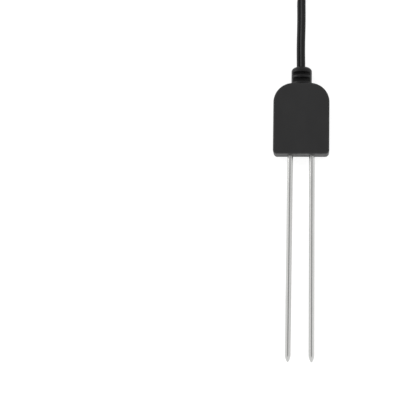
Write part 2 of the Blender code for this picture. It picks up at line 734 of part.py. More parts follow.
def make_plug(body_finish, rubber, metal, insulator):
    """A moulded two-pole jack plug, built of turned pieces on one axis."""
    body = moved_outline(PLUG_BODY_PROFILE_MM, PLUG_RELIEF_LENGTH + GAP)
    sleeve = body[-1][1] + GAP
    sleeve_end = sleeve + SLEEVE_LENGTH
    ring = sleeve_end + GAP
    tip = moved_outline(TIP_PROFILE_MM, ring + INSULATOR_LENGTH + GAP)
    flange_radius, flange_length = SLEEVE_FLANGE
    relief_low, relief_high = PLUG_RELIEF_RADII
    profiles = (
        ("plug_strain_relief", rubber, [(relief_low, 0.0), (relief_high, PLUG_RELIEF_LENGTH)]),
        ("plug_body", body_finish, body),
        ("plug_sleeve", metal, [
            (flange_radius, sleeve), (flange_radius, sleeve + flange_length),
            (JACK_RADIUS, sleeve + flange_length), (JACK_RADIUS, sleeve_end),
        ]),
        ("plug_insulator", insulator, [
            (INSULATOR_RADIUS, ring), (INSULATOR_RADIUS, ring + INSULATOR_LENGTH),
        ]),
        ("plug_tip", metal, tip),
    )
    for name, finish, profile in profiles:
        turn = (-math.pi / 2, 0.0, PLUG_TURN)
        place(name, turned(profile), finish, at=PLUG_START, turn=turn)


def main():
    clear_scene()
    plastic = black_plastic("head_plastic")
    rubber = black_rubber("flexible_pvc")
    metal = steel("stainless_steel")
    brass = material("tinned_brass", (0.66, 0.60, 0.42), 0.3, 1.0)
    silicone = material("silicone", (0.35, 0.07, 0.05), 0.6)
    nylon = material("natural_nylon", (0.72, 0.69, 0.6), 0.5)
    board = material("board_green", (0.02, 0.16, 0.06), 0.4)
    ceramic = material("component_ceramic", (0.45, 0.36, 0.24), 0.4)
    make_shell(plastic)
    make_cover(plastic)
    make_gasket(silicone)
    make_screws(metal)
    make_carrier(nylon)
    make_electrodes(metal, silicone, brass)
    make_board(board)
    make_components(plastic, ceramic)
    make_inner_wires(rubber)
    make_strain_relief(rubber)
    make_lead(rubber)
    make_hank(rubber)
    make_tie(plastic)
    make_plug(plastic, rubber, metal, nylon)


main()
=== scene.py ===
"""Looks of the two-rod soil moisture probe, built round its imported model.

The probe lies on its back on the floor: +Y runs from the rod tips to the lead, +X is to its right
and +Z comes out of its front face. All lengths are in metres.
"""

import json
import math

import bmesh
import bpy
from mathutils import Matrix, Vector


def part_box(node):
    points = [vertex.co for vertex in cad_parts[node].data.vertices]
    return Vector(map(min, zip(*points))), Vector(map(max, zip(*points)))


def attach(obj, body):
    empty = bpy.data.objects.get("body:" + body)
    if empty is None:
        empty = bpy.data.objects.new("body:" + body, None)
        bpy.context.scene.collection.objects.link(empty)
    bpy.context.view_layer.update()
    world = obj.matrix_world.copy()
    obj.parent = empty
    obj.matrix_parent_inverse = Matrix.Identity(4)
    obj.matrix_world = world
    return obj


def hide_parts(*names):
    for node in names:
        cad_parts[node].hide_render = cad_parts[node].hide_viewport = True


MM = 0.001
BODY = "root"
PACKED_GAP = 0.3 * MM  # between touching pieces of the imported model
SHARP_ANGLE = math.radians(35.0)  # edges that turn by more than this are shaded sharp

# Head: places are (x, distance above its bottom face), heights are above the floor.
TOP_CORNER = 9.8 * MM
BOTTOM_CORNER = 2.0 * MM
LEAST_CORNER = 0.2 * MM  # radius of an inset corner that would vanish otherwise
EDGE_ROUND = 1.0 * MM
SEAM_ROUND = 0.15 * MM  # on the two edges that meet at the parting line
SEAM_GAP = 0.06 * MM
WALL = 2.4 * MM
FRONT_WALL = 2.0 * MM
CORNER_STEPS = 24
ROUND_STEPS = 8
SCREW_PLACES = ((0.0, 8.8 * MM), (-8.8 * MM, 24.5 * MM), (8.8 * MM, 24.5 * MM))
SCREW_SEAT = (2.2 * MM, 1.45 * MM)  # radius and depth
SCREW_HOLE_RADIUS = 1.1 * MM
POST_RADIUS = 2.1 * MM
POST_LOW = 3.7 * MM  # lower end of a screw post
PILOT_TOP = 8.9 * MM  # end of the hole in it
BOSS_TOP = 3.4 * MM  # upper end of a boss on the cover
RIB = (1.0 * MM, 8.0 * MM)  # width and length
RIB_PLACE = (4.5 * MM, 23.9 * MM, 8.2 * MM)  # its middle, and the height of its lower face
CUT_PAST = 1.0 * MM  # reach of a cutting tool past what it cuts

# Rods: their outline is (radius, distance above the head's bottom face).
ROD_RADIUS = 1.5 * MM
ROD_SPACING = 10.9 * MM
ROD_SPLAY = math.radians(0.21)
ROD_FIT = 0.04 * MM  # between a rod and its hole
ROD_POINT = 3.5 * MM
POINT_END_RADIUS = 0.3 * MM
POINT_STEPS = 10
POINT_FULLNESS = 0.8  # below 1 swells the point's cone
SHOULDER = (2.3 * MM, 4.0 * MM, 5.0 * MM)  # radius, start and end
ROD_INNER_END = 17.6 * MM
ROD_CHAMFER = 0.4 * MM

# Collar
COLLAR_RADIUS = 5.15 * MM
COLLAR_END_RADIUS = 2.6 * MM
COLLAR_DOME = 2.2 * MM
COLLAR_LENGTH = 8.9 * MM
DOME_STEPS = 12
SLOTS = ((2.1 * MM, 2.1 * MM), (5.2 * MM, 1.6 * MM))  # (middle above the head's top, width)
SLOT_FLOOR = 2.9 * MM  # from the collar's axis
SLOT_WALL = 0.01 * MM  # slant of a slot's side walls
RIM_STEPS = 4
RIM_ROUND = 0.16 * MM
RIM_BLEND = 0.6 * MM  # over which a rim's rounding fades in beside a slot's flat floor
FLANGE = (3.5 * MM, 31.5 * MM)  # radius, and distance above the head's bottom face
NECK_RADIUS = 2.6 * MM

# Lead
CORD_WIDTH = 5.4 * MM
CORE_RADIUS = 1.3 * MM
WEB_HALF = 0.16 * MM  # half the thickness of the web that joins the cores
LOBE_STEPS = 19
GROOVE_PAINTED_SHADE_REACH = (0.07, 0.13)  # share of a core's girth, from the web, over which painted shade fades
LEAD_SHARP_ANGLE = math.radians(50.0)
RING_STEP = 1.9 * MM
CURVE_CUTS = 16  # fine points between two points of a route
BURIED = 1.2 * MM  # of the lead inside the collar and inside the plug
SEEN_TWIST = math.radians(51.0)  # turn of the flat section where the lead leaves the collar
EDGE_TWIST = math.radians(90.0)  # in the hank it stands on its edge
TWIST_FROM, TWIST_TO = 34.0 * MM, 62.0 * MM
LEAD_ROUTE_MM = (
    (-0.38, 74.2, 5.75), (-0.44, 77.5, 5.75), (-0.5, 81.0, 5.7), (-0.52, 85.0, 5.6),
    (-0.48, 89.0, 5.4), (-0.42, 93.0, 5.1), (-0.38, 97.0, 4.75), (-0.38, 101.0, 4.35),
    (-0.43, 105.0, 3.9), (-0.47, 109.0, 3.4), (-0.21, 112.5, 3.08), (0.3, 114.8, 2.93),
    (1.2, 117.4, 2.83),
)
JOIN_IN_MM = ((2.96, 120.7, 2.77), (4.6, 122.9, 2.75), (6.61, 124.98, 2.75))
JOIN_OUT_MM = ((16.85, 147.5, 8.2), (16.9, 151.0, 8.05), (16.8, 154.0, 7.55), (16.5, 157.0, 6.65))
TAIL_ROUTE_MM = ((16.05, 160.1, 5.6), (15.5, 162.0, 4.8), (15.07, 164.0, 4.35), (14.77, 166.0, 4.2))

# Hank
HANK_CENTRE = Vector((-4.9 * MM, 184.3 * MM, 0.0))
HALF_RUN = 40.5 * MM
FOLD_RADIUS = 16.2 * MM
WAIST_HALF_GAP = 1.4 * MM
TURN_PITCH = 2.75 * MM
LAYER_PITCH = 5.45 * MM
LOW_LAYER = 2.75 * MM
TURN_CELLS = ((2, 0), (1, 0), (0, 0), (0, 1), (1, 1), (2, 1))  # (track, layer) of each turn
SHIFT_SHARE = 0.09  # of a turn, in which the lead moves over to its next track
HANK_START = math.radians(312.0)  # where the lead joins the near end loop
POINTS_PER_TURN = 60
WAIST_LIFT = 0.55 * MM  # the runs rise a little over the tie that passes under them
LIFT_REACH = (3.0 * MM, 12.0 * MM)

# Tie
TIE_HALF = 8.3 * MM
TIE_LOW = 0.5 * MM
TIE_HIGH = 11.5 * MM
TIE_CORNER = 1.3 * MM
TIE_CORNER_STEPS = 8
TIE_OUTLINE_MM = (  # (across, outward) from the ribbon's edge to the top of its wire ridge
    (1.8, 0.0), (1.8, 0.14), (1.62, 0.28), (0.504, 0.28), (0.294, 0.42), (0.0, 0.462),
)
TWIST_X = 2.0 * MM
TWIST_STRAND = 0.4 * MM
TWIST_RADIUS = 0.42 * MM
TWIST_TURNS = 1.75
TWIST_HEIGHT = 2.7 * MM
TWIST_FLARE = 1.2  # spread of the twisted ends, as a share of their radius
FLARE_FROM = 0.82  # share of the twist's height at which they start to spread
TWIST_STEPS = 28
TWIST_SIDES = 14

# Plug: outlines are (radius, distance from the plug's start).
PLUG_START = Vector((14.7 * MM, 166.5 * MM, 4.2 * MM))
PLUG_TURN = math.radians(8.0)
RELIEF_LENGTH = 7.1 * MM
RELIEF_RADII = (2.9 * MM, 3.5 * MM)
RELIEF_GROOVES = 4
GROOVE_DEPTH = 0.45 * MM
GROOVE_REACH = 0.3  # half a groove's width, as a share of the pitch
GROOVE_STEPS = 4
PLUG_BODY = (7.15 * MM, 21.3 * MM)
PLUG_BODY_RADIUS = 4.2 * MM
PLUG_SHOULDER, PLUG_NOSE = 2.0 * MM, 1.4 * MM  # lengths of its rounded ends
PLUG_ROUND_STEPS = 8
GRIP_GROOVES = 6
GRIP_PITCH = 1.3 * MM
GRIP_DEPTH = 0.22 * MM
GRIP_MARGIN = 0.1 * MM
SLEEVE = (21.35 * MM, 29.95 * MM)
SLEEVE_FLANGE = (2.9 * MM, 0.8 * MM)  # radius and length
SOFT_EDGE = 0.12 * MM
JACK_RADIUS = 1.75 * MM
INSULATOR = (29.95 * MM, 31.25 * MM)
INSULATOR_RADIUS = 1.7 * MM
TIP_PROFILE_MM = (
    (1.72, 31.25), (1.75, 31.35), (1.75, 32.1), (1.6, 32.4), (1.3, 32.75), (1.25, 33.0),
    (1.33, 33.3), (1.55, 33.7), (1.6, 34.0), (1.5, 34.4), (1.2, 34.8), (0.8, 35.1), (0.3, 35.3),
)

FINE_SIDES = 64
COLLAR_SIDES = 96

# Stage
CAMERA_AT = (6.3 * MM, -60.4 * MM, 550.0 * MM)
CAMERA_TILT = (math.radians(6.52), math.radians(5.54), math.radians(1.0))  # pitch, yaw and roll
CAMERA_LENS = 94.6  # millimetres, on a sensor 36 mm wide
CAMERA_CLIP = 10.0 * MM
FLOOR_HALF = 4.0
FLOOR_DROP = 0.05 * MM
FLOOR_GLOW = 0.82
SKY_SIDE, SKY_TOP = 0.97, 0.3  # brightness of the surroundings near the horizon and overhead
SKY_TOP_FROM, SKY_TOP_TO = 0.9, 0.97  # sines of elevation between which it dims
KEY_AT = (-1.0, 0.45, 0.3)  # it points at the origin
KEY_SIZE = 0.45
KEY_POWER = 2.2

# Looks: shades are the dark and light colours that a noise runs between, rough pairs the least and
# greatest roughness, and scales are noise cells to the metre.
NOISE_SPAN = (0.3, 0.7)  # the part of a noise's range that its values fill
HEAD_SHADES = ((0.019, 0.019, 0.0194), (0.022, 0.022, 0.0224))
HEAD_WORN = (0.034, 0.034, 0.035, 1.0)
HEAD_ROUGH = (0.44, 0.56)
WORN_EDGE = (0.53, 0.62)  # pointiness at which an edge starts to look worn, and is fully worn
SPARK_SCALE, SPARK_DEPTH = 3600.0, 0.012 * MM
SINK_SCALE, SINK_DEPTH = 240.0, 0.03 * MM
PVC_SHADES = ((0.007, 0.007, 0.0073), (0.0095, 0.0095, 0.0099))
PVC_SHADE_SPAN = (0.35, 0.72)
PVC_ROUGH = (0.36, 0.47)
PVC_MARK_DEPTH = 0.02 * MM
# Painted shade: near black painted into the lead's grooves between its cores.
GROOVE_PAINTED_SHADE_COLOUR = (0.001, 0.001, 0.001, 1.0)
STEEL_SHADES = ((0.58, 0.58, 0.57), (0.64, 0.64, 0.63))
STEEL_ROUGH = (0.17, 0.27)
LINE_SCALE, LINE_DEPTH = 5200.0, 0.004 * MM
BOARD_SHADES = ((0.012, 0.1, 0.035), (0.02, 0.17, 0.06))
BOARD_BAND_SPAN = (0.45, 0.6)
BOARD_ROUGH = (0.28, 0.42)
TRACK_SCALE, TRACK_DEPTH = 260.0, 0.03 * MM
TURNING_SCALE, TURNING_DEPTH = 5000.0, 0.004 * MM
GRAIN_DEPTH = 0.01 * MM
FLOOR_SHADES = ((0.33, 0.33, 0.33), (0.37, 0.37, 0.37))
WHITE = (1.0, 1.0, 1.0, 1.0)
PLATED = {  # material: (dark, light, roughness)
    "screw_steel": ((0.42, 0.42, 0.43), (0.56, 0.56, 0.55), 0.3),
    "tinned_brass": ((0.58, 0.53, 0.38), (0.72, 0.67, 0.5), 0.32),
    "plug_metal": ((0.66, 0.65, 0.63), (0.76, 0.75, 0.73), 0.16),
}
MOULDED = {  # material: (dark, light, roughness, scale of its grain)
    "silicone": ((0.28, 0.05, 0.035), (0.38, 0.08, 0.055), 0.55, 1800.0),
    "nylon": ((0.62, 0.59, 0.5), (0.72, 0.69, 0.6), 0.45, 1800.0),
    "component": ((0.06, 0.05, 0.04), (0.2, 0.16, 0.12), 0.4, 1800.0),
    "plug_plastic": ((0.009, 0.009, 0.009), (0.013, 0.013, 0.013), 0.38, 2600.0),
    "tie": ((0.01, 0.01, 0.01), (0.015, 0.015, 0.015), 0.3, 3000.0),
}


# Mesh helpers -------------------------------------------------------------------------------------


def skin(rings, joined=False):
    """A closed surface over rings of equal point counts: capped at both ends, or joined in a loop."""
    bm = bmesh.new()
    loops = [[bm.verts.new(point) for point in ring] for ring in rings]
    pairs = list(zip(loops, loops[1:]))
    if joined:
        pairs.append((loops[-1], loops[0]))
    else:
        bm.faces.new(loops[0])
        bm.faces.new(loops[-1])
    for one, two in pairs:
        for i in range(len(one)):
            j = (i + 1) % len(one)
            bm.faces.new((one[i], one[j], two[j], two[i]))
    return bm


def circle(radius, height, sides=FINE_SIDES):
    """A ring of points round the local Z axis."""
    angles = [2 * math.pi * i / sides for i in range(sides)]
    return [(radius * math.cos(a), radius * math.sin(a), height) for a in angles]


def turned(profile):
    """A closed piece turned about local Z from (radius, height) points."""
    return skin([circle(radius, height) for radius, height in profile])


def block(size, at):
    """A box of a size about a point."""
    bm = bmesh.new()
    bmesh.ops.create_cube(bm, size=1.0)
    bmesh.ops.scale(bm, vec=size, verts=bm.verts)
    bmesh.ops.translate(bm, vec=at, verts=bm.verts)
    return bm


def quarter(steps):
    """Angles from 0 to a right angle, both included."""
    return [math.pi / 2 * i / steps for i in range(steps + 1)]


def along_y(at, turn=0.0):
    """Takes a piece's local Z to +Y, turned about the vertical, and puts its zero at a point."""
    turning = Matrix.Rotation(turn, 4, "Z") @ Matrix.Rotation(-math.pi / 2, 4, "X")
    return Matrix.Translation(at) @ turning


def shade(mesh, sharp_angle=SHARP_ANGLE):
    """Smooth shading, but for edges that turn by more than an angle."""
    mesh.shade_smooth()
    mesh.set_sharp_from_angle(angle=sharp_angle)


def mesh_object(name, bm, transform=None, sharp_angle=SHARP_ANGLE):
    """A smooth-shaded mesh object, its shape in world coordinates."""
    if transform is not None:
        bmesh.ops.transform(bm, matrix=transform, verts=bm.verts)
    bmesh.ops.recalc_face_normals(bm, faces=bm.faces)
    mesh = bpy.data.meshes.new(name)
    bm.to_mesh(mesh)
    bm.free()
    shade(mesh, sharp_angle)
    made = bpy.data.objects.new(name, mesh)
    bpy.context.scene.collection.objects.link(made)
    return made


def combine(target, tool, operation):
    """Adds a tool to the target, or cuts it out of it, for good."""
    change = target.modifiers.new("combine", "BOOLEAN")
    change.object = tool
    change.operation = operation
    change.solver = "EXACT"
    graph = bpy.context.evaluated_depsgraph_get()
    shape = bpy.data.meshes.new_from_object(target.evaluated_get(graph))
    target.modifiers.clear()
    target.data = shape
    bpy.data.objects.remove(tool)


def finish_piece(piece, material, slot, *nodes):
    """Gives a piece its material and lets it stand for its CAD nodes."""
    piece.data.materials.clear()
    piece.data.materials.append(material)
    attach(piece, BODY)
    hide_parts(*nodes)
    return piece


# Material helpers ---------------------------------------------------------------------------------


class Finish:
    """A material with a Principled shader and short ways to wire its procedural textures."""

    def __init__(self, name, roughness, metallic=0.0, specular=0.5):
        self.material = bpy.data.materials.new(name)
        self.material.use_nodes = True
        self.tree = self.material.node_tree
        self.shader = self.tree.nodes["Principled BSDF"]
        self.set(Roughness=roughness, Metallic=metallic)
        self.shader.inputs["Specular IOR Level"].default_value = specular

    def set(self, **values):
        """Sets the shader's own values."""
        for name, value in values.items():
            self.shader.inputs[name.replace("_", " ")].default_value = value

    def node(self, kind, **inputs):
        """A new node, each of its inputs linked to a socket or set to a value."""
        made = self.tree.nodes.new(kind)
        for name, value in inputs.items():
            socket = made.inputs[name.replace("_", " ")]
            if hasattr(value, "is_output"):
                self.tree.links.new(value, socket)
            else:
                socket.default_value = value
        return made

    def coordinates(self, stretch=(1.0, 1.0, 1.0), source="Object"):
        """Where a point is, in metres unless from the UV map, with each axis scaled."""
        where = self.node("ShaderNodeTexCoord").outputs[source]
        return self.node("ShaderNodeMapping", Vector=where, Scale=stretch).outputs["Vector"]

    def noise(self, scale, detail=2.0, stretch=(1.0, 1.0, 1.0), source="Object"):
        """Noise between 0 and 1 with this many cells to the metre before the stretch."""
        where = self.coordinates(stretch, source)
        made = self.node("ShaderNodeTexNoise", Vector=where, Scale=scale, Detail=detail)
        return made.outputs["Fac"]

    def shades(self, factor, dark, light, start=NOISE_SPAN[0], end=NOISE_SPAN[1]):
        """Runs from a dark to a light colour as a factor goes from a start to an end."""
        made = self.node("ShaderNodeValToRGB", Fac=factor)
        for mark, position, colour in zip(made.color_ramp.elements, (start, end), (dark, light)):
            mark.position = position
            mark.color = (*colour, 1.0)
        return made.outputs["Color"]

    def span(self, factor, low, high, start=NOISE_SPAN[0], end=NOISE_SPAN[1]):
        """Runs from a low to a high value as a factor goes from a start to an end."""
        made = self.node("ShaderNodeMapRange", Value=factor)
        limits = {"From Min": start, "From Max": end, "To Min": low, "To Max": high}
        for name, value in limits.items():
            made.inputs[name].default_value = value
        return made.outputs["Result"]

    def mix(self, factor, one, two):
        """Goes from one colour to another as a factor goes from 0 to 1."""
        made = self.tree.nodes.new("ShaderNodeMix")
        made.data_type = "RGBA"
        for name, value in (("Factor_Float", factor), ("A_Color", one), ("B_Color", two)):
            socket = next(s for s in made.inputs if s.identifier == name)
            if hasattr(value, "is_output"):
                self.tree.links.new(value, socket)
            else:
                socket.default_value = value
        return next(s for s in made.outputs if s.identifier == "Result_Color")

    def groove_painted_shade_mask(self):
        """Painted shade mask: 0 in the lead's two grooves and 1 away from them, from its UV map's
        girth.

        The girth is counted in cores and moved on by half a point of the outline, so that each
        groove is at a whole number.
        """
        split = self.node("ShaderNodeSeparateXYZ", Vector=self.coordinates(source="UV"))
        cores = self.node("ShaderNodeMath", Value=split.outputs["X"])
        cores.operation = "MULTIPLY_ADD"
        cores.inputs[1].default_value = 2.0
        cores.inputs[2].default_value = 0.5 / LOBE_STEPS
        near = self.node("ShaderNodeMath", Value=cores.outputs["Value"])
        near.operation = "PINGPONG"
        near.inputs[1].default_value = 0.5
        return self.span(near.outputs["Value"], 0.0, 1.0, *GROOVE_PAINTED_SHADE_REACH)

    def colour(self, socket):
        """Steers the shader's base colour."""
        self.tree.links.new(socket, self.shader.inputs["Base Color"])

    def roughness(self, socket):
        """Steers the shader's roughness."""
        self.tree.links.new(socket, self.shader.inputs["Roughness"])

    def bump(self, height, distance, strength):
        """Adds a bump on top of those that the shader has already."""
        made = self.node("ShaderNodeBump", Height=height, Distance=distance, Strength=strength)
        shader_normal = self.shader.inputs["Normal"]
        if shader_normal.is_linked:
            self.tree.links.new(shader_normal.links[0].from_socket, made.inputs["Normal"])
        self.tree.links.new(made.outputs["Normal"], shader_normal)


# Materials ----------------------------------------------------------------------------------------


def head_plastic():
    """Moulded charcoal ABS: fine spark texture, faint flow marks, worn a little on the edges."""
    finish = Finish("head_plastic", roughness=0.5, specular=0.25)
    flow = finish.noise(scale=140.0, detail=3.0, stretch=(1.0, 0.5, 1.0))
    edges = finish.node("ShaderNodeNewGeometry").outputs["Pointiness"]
    wear = finish.span(edges, 0.0, 1.0, *WORN_EDGE)
    patches = finish.span(finish.noise(scale=700.0, detail=4.0), 0.2, 1.0)
    worn = finish.node("ShaderNodeMath", Value=wear)
    worn.operation = "MULTIPLY"
    finish.tree.links.new(patches, worn.inputs[1])
    finish.colour(finish.mix(worn.outputs["Value"], finish.shades(flow, *HEAD_SHADES), HEAD_WORN))
    finish.roughness(finish.span(finish.noise(scale=320.0, detail=4.0), *HEAD_ROUGH))
    finish.bump(finish.noise(SPARK_SCALE), SPARK_DEPTH, strength=0.6)
    finish.bump(finish.noise(SINK_SCALE), SINK_DEPTH, strength=0.35)
    return finish.material


def flexible_pvc(name, coordinates="Object"):
    """Soft black PVC. The cord's length and girth steer its drawing marks and a painted groove shade.
    """
    finish = Finish(name, roughness=0.4, specular=0.2)
    if coordinates == "UV":
        marks = finish.noise(1.0, detail=3.0, stretch=(26.0, 22.0, 1.0), source="UV")
        dust = finish.noise(1.0, detail=4.0, stretch=(9.0, 260.0, 1.0), source="UV")
    else:
        marks = finish.noise(scale=900.0, detail=3.0)
        dust = finish.noise(scale=260.0, detail=4.0)
    base = finish.shades(dust, *PVC_SHADES, *PVC_SHADE_SPAN)
    # Painted shade: the grooves between the cores are darkened to near black.
    if coordinates == "UV":
        base = finish.mix(finish.groove_painted_shade_mask(), GROOVE_PAINTED_SHADE_COLOUR, base)
    finish.colour(base)
    finish.roughness(finish.span(marks, *PVC_ROUGH))
    finish.bump(marks, PVC_MARK_DEPTH, strength=0.5)
    return finish.material


def stainless_steel():
    """Drawn rod, lightly polished: marks run along it."""
    finish = Finish("stainless_steel", roughness=0.2, metallic=1.0)
    lines = finish.noise(LINE_SCALE, detail=3.0, stretch=(1.0, 0.012, 1.0))
    clouds = finish.noise(scale=130.0, detail=4.0, stretch=(1.0, 0.35, 1.0))
    finish.colour(finish.shades(clouds, *STEEL_SHADES))
    finish.roughness(finish.span(lines, *STEEL_ROUGH))
    finish.bump(lines, LINE_DEPTH, strength=0.35)
    return finish.material


def plated_metal(name, dark, light, roughness):
    """A small plated part: clouded colour and fine turning marks."""
    finish = Finish(name, roughness=roughness, metallic=1.0)
    finish.colour(finish.shades(finish.noise(scale=900.0, detail=3.0), dark, light))
    finish.roughness(finish.span(finish.noise(scale=2600.0), roughness - 0.06, roughness + 0.08))
    finish.bump(finish.noise(TURNING_SCALE), TURNING_DEPTH, strength=0.3)
    return finish.material


def moulded(name, dark, light, roughness, grain):
    """A plain moulded part: mottled colour and a fine grain."""
    finish = Finish(name, roughness=roughness)
    finish.colour(finish.shades(finish.noise(scale=500.0, detail=4.0), dark, light))
    finish.roughness(finish.span(finish.noise(scale=900.0), roughness - 0.05, roughness + 0.07))
    finish.bump(finish.noise(grain), GRAIN_DEPTH, strength=0.5)
    return finish.material


def circuit_board_finish():
    """Green solder mask over copper tracks, which show as lighter bands."""
    finish = Finish("board", roughness=0.35)
    where = finish.coordinates()
    waves = finish.node(
        "ShaderNodeTexWave", Vector=where, Scale=TRACK_SCALE, Distortion=2.5, Detail=1.0
    )
    bands = waves.outputs["Fac"]
    finish.colour(finish.shades(bands, *BOARD_SHADES, *BOARD_BAND_SPAN))
    finish.roughness(finish.span(finish.noise(scale=1200.0), *BOARD_ROUGH))
    finish.bump(bands, TRACK_DEPTH, strength=0.4)
    return finish.material


def make_materials():
    """One material for each of the record's slots, and the lead's own version of its slot."""
    made = {
        "head_plastic": head_plastic(),
        "flexible_pvc": flexible_pvc("flexible_pvc"),
        "lead": flexible_pvc("lead_pvc", "UV"),
        "stainless_steel": stainless_steel(),
        "board": circuit_board_finish(),
    }
    for name, look in PLATED.items():
        made[name] = plated_metal(name, *look)
    for name, look in MOULDED.items():
        made[name] = moulded(name, *look)
    return made


# Head ---------------------------------------------------------------------------------------------


def head_place():
    """The head's lowest and highest corners, cover and shell together."""
    cover_low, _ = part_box("back_cover")
    _, shell_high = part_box("head_shell")
    return cover_low, shell_high


def above(distance):
    """The Y of a station this far above the head's bottom face."""
    return head_place()[0].y + distance


def axis_height():
    """The height that rods, collar and lead share."""
    low, high = head_place()
    return (low.z + high.z) / 2


def cover_height():
    """The back cover's thickness, up to the shell."""
    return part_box("head_shell")[0].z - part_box("back_cover")[0].z - PACKED_GAP


def arc(centre, radius, start, steps):
    """A quarter circle in the XY plane from a start angle in degrees, both ends included."""
    angles = [math.radians(start + 90 * i / steps) for i in range(steps + 1)]
    return [(centre[0] + radius * math.cos(a), centre[1] + radius * math.sin(a)) for a in angles]


def head_outline(inset, height):
    """The head's arched outline moved in by an inset, as a ring at a height."""
    low, high = head_place()
    points = []
    corners = (
        (high.x, low.y, BOTTOM_CORNER, -90),
        (high.x, high.y, TOP_CORNER, 0),
        (low.x, high.y, TOP_CORNER, 90),
        (low.x, low.y, BOTTOM_CORNER, 180),
    )
    middle = (low + high) / 2
    for x, y, corner, start in corners:
        radius = max(corner - inset, LEAST_CORNER)
        move = inset + radius
        centre = (x - math.copysign(move, x - middle.x), y - math.copysign(move, y - middle.y))
        points += arc(centre, radius, start, CORNER_STEPS)
    return [(x, y, height) for x, y in points]


def rounded(level, radius, into):
    """(inset, height) pairs of a rounded edge that ends in a flat face at a level.

    The piece is below the face where into is 1, and above it where into is -1.
    """
    return [
        (radius * (1 - math.cos(a)), level - into * radius * (1 - math.sin(a)))
        for a in quarter(ROUND_STEPS)
    ]


def upright(radius, place, low, high):
    """A round post, or a tool for a round hole, from one height to another."""
    x, y = place
    bm = turned(((radius, low), (radius, high)))
    return mesh_object("tool", bm, Matrix.Translation((x, above(y), 0.0)))


def make_shell(material):
    """The deep front shell: rounded outside, hollow, with posts, ribs and holes."""
    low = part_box("back_cover")[0].z + cover_height() + SEAM_GAP
    high = head_place()[1].z
    ceiling = high - FRONT_WALL
    outside = rounded(low, SEAM_ROUND, -1)[::-1] + rounded(high, EDGE_ROUND, 1)
    rings = [head_outline(WALL, ceiling), head_outline(WALL, low)]
    rings += [head_outline(inset, height) for inset, height in outside]
    shell = mesh_object("head_front", skin(rings))
    for place in SCREW_PLACES:
        combine(shell, upright(POST_RADIUS, place, POST_LOW, ceiling + FRONT_WALL / 2), "UNION")
        combine(shell, upright(SCREW_HOLE_RADIUS, place, 0.0, PILOT_TOP), "DIFFERENCE")
    rib_x, rib_y, rib_low = RIB_PLACE
    rib_height = ceiling + FRONT_WALL / 2 - rib_low
    for side in (-1, 1):
        at = (side * rib_x, above(rib_y), rib_low + rib_height / 2)
        combine(shell, mesh_object("tool", block((*RIB, rib_height), at)), "UNION")
        hole = turned(((ROD_RADIUS + ROD_FIT, -CUT_PAST), (ROD_RADIUS + ROD_FIT, WALL + CUT_PAST)))
        at = (side * ROD_SPACING / 2, above(0.0), axis_height())
        combine(shell, mesh_object("tool", hole, along_y(at, side * ROD_SPLAY)), "DIFFERENCE")
    hole = turned(((NECK_RADIUS + ROD_FIT, -WALL - CUT_PAST), (NECK_RADIUS + ROD_FIT, CUT_PAST)))
    at = (0.0, head_place()[1].y, axis_height())
    combine(shell, mesh_object("tool", hole, along_y(at)), "DIFFERENCE")
    shade(shell.data)
    return finish_piece(shell, material, "head_plastic", "head_shell")


def make_cover(material):
    """The back cover, with a sunk seat and a boss for each screw."""
    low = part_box("back_cover")[0].z
    thickness = cover_height()
    outside = rounded(low, EDGE_ROUND, -1)[::-1] + rounded(low + thickness, SEAM_ROUND, 1)
    cover = mesh_object("head_back", skin([head_outline(inset, height) for inset, height in outside]))
    seat_radius, seat_depth = SCREW_SEAT
    for place in SCREW_PLACES:
        seat = upright(seat_radius, place, low - CUT_PAST, low + seat_depth)
        hole = upright(SCREW_HOLE_RADIUS, place, low - CUT_PAST, BOSS_TOP + CUT_PAST)
        combine(cover, upright(POST_RADIUS, place, low + thickness / 2, BOSS_TOP), "UNION")
        combine(cover, seat, "DIFFERENCE")
        combine(cover, hole, "DIFFERENCE")
    shade(cover.data)
    return finish_piece(cover, material, "head_plastic", "back_cover")


# Rods ---------------------------------------------------------------------------------------------


def rod_profile(tip):
    """A rod's outline from its point, a rounded cone, to its chamfered inner end."""
    profile = []
    for i in range(POINT_STEPS + 1):
        share = i / POINT_STEPS
        swell = math.sin(share * math.pi / 2) ** POINT_FULLNESS
        radius = POINT_END_RADIUS + (ROD_RADIUS - POINT_END_RADIUS) * swell
        profile.append((radius, tip + ROD_POINT * share))
    radius, start, end = SHOULDER
    profile += [(ROD_RADIUS, start), (radius, start), (radius, end), (ROD_RADIUS, end)]
    profile += [(ROD_RADIUS, ROD_INNER_END - ROD_CHAMFER), (ROD_RADIUS - ROD_CHAMFER, ROD_INNER_END)]
    return profile


def make_rods(material):
    """The two electrodes, each turned about its own splayed axis."""
    for word, side in (("left", -1), ("right", 1)):
        node = f"{word}_electrode"
        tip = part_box(node)[0].y - above(0.0)
        at = (side * ROD_SPACING / 2, above(0.0), axis_height())
        rod = mesh_object(f"{word}_rod", turned(rod_profile(tip)), along_y(at, side * ROD_SPLAY))
        finish_piece(rod, material, "stainless_steel", node)


# Collar -------------------------------------------------------------------------------------------


def collar_stations():
    """(height, radius, trim of a slot's rounded rim, is in a slot) up the collar."""
    stations = [(0.0, COLLAR_RADIUS, 0.0, False)]
    for middle, width in SLOTS:
        for side in (-1, 1):
            edge = middle + side * width / 2
            rim = []
            for angle in quarter(RIM_STEPS):
                away = RIM_ROUND * (1 - math.sin(angle))
                trim = RIM_ROUND * (1 - math.cos(angle))
                rim.append((edge + side * away, COLLAR_RADIUS, trim, False))
            rim.append((edge - side * SLOT_WALL, COLLAR_RADIUS, 0.0, True))
            stations += rim if side < 0 else rim[::-1]
    for angle in quarter(DOME_STEPS):
        shrink = (COLLAR_RADIUS - COLLAR_END_RADIUS) * (1 - math.cos(angle))
        height = COLLAR_LENGTH - COLLAR_DOME * (1 - math.sin(angle))
        stations.append((height, COLLAR_RADIUS - shrink, 0.0, False))
    return stations


